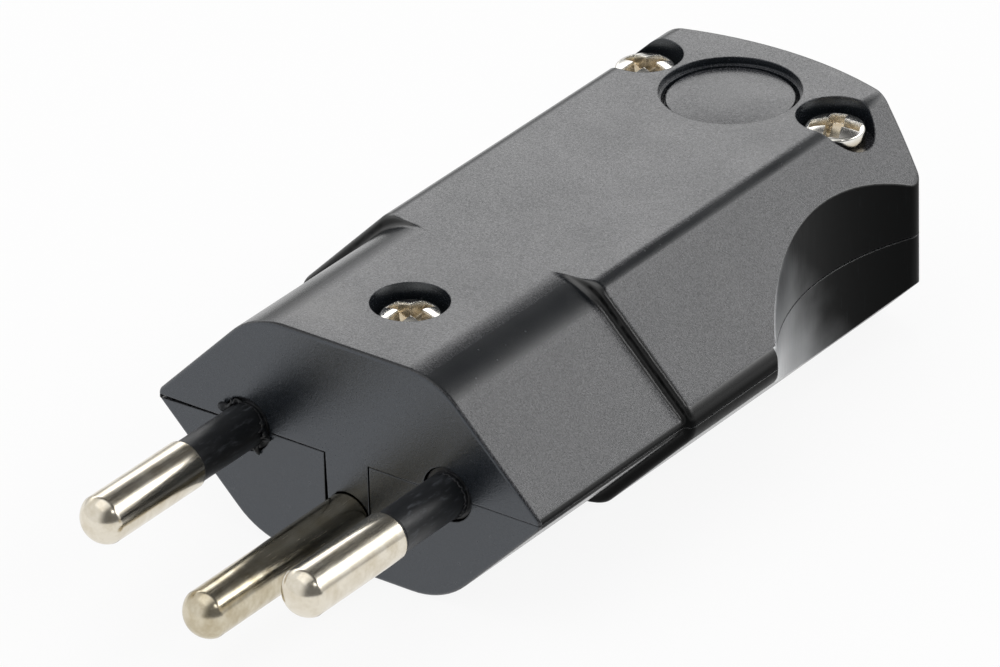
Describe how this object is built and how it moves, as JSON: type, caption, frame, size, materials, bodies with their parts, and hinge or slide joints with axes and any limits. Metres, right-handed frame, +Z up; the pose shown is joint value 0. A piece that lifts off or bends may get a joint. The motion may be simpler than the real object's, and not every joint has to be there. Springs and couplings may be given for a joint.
{
  "type": "type j plug",
  "caption": "Rewirable three-pin mains plug with a flat hexagonal two-part black housing, sleeved pins, an offset earth pin and a rear cable inlet.",
  "frame": {"origin": "below the middle of the bounding box, on the surface that the flat underside lies on", "axes": "+Y from the pins towards the cable inlet, +X to the right seen from the pin end, +Z up out of the flat top with the screws"},
  "size_m": [0.0376, 0.0772, 0.0194],
  "materials": {
    "housing": "black moulded thermoplastic with a fine spark-eroded grain",
    "pin_metal": "turned brass, polished and nickel plated",
    "sleeve": "black moulded insulation, smooth with light scuffs",
    "screw_metal": "steel, nickel plated",
    "insert_metal": "plain turned brass",
    "clamp_metal": "bent steel strip, zinc plated",
    "cap": "black moulded thermoplastic, satin"
  },
  "bodies": {
    "root": {"upper_shell": "housing", "lower_shell": "housing", "left_pin": "pin_metal", "right_pin": "pin_metal", "earth_pin": "pin_metal", "left_pin_sleeve": "sleeve", "right_pin_sleeve": "sleeve", "left_terminal_screw": "screw_metal", "right_terminal_screw": "screw_metal", "earth_terminal_screw": "screw_metal", "front_housing_screw": "screw_metal", "left_housing_screw": "screw_metal", "right_housing_screw": "screw_metal", "left_clamp_screw": "screw_metal", "right_clamp_screw": "screw_metal", "front_insert": "insert_metal", "left_insert": "insert_metal", "right_insert": "insert_metal", "cable_clamp": "clamp_metal", "blanking_cap": "cap"}
  },
  "joints": []
}
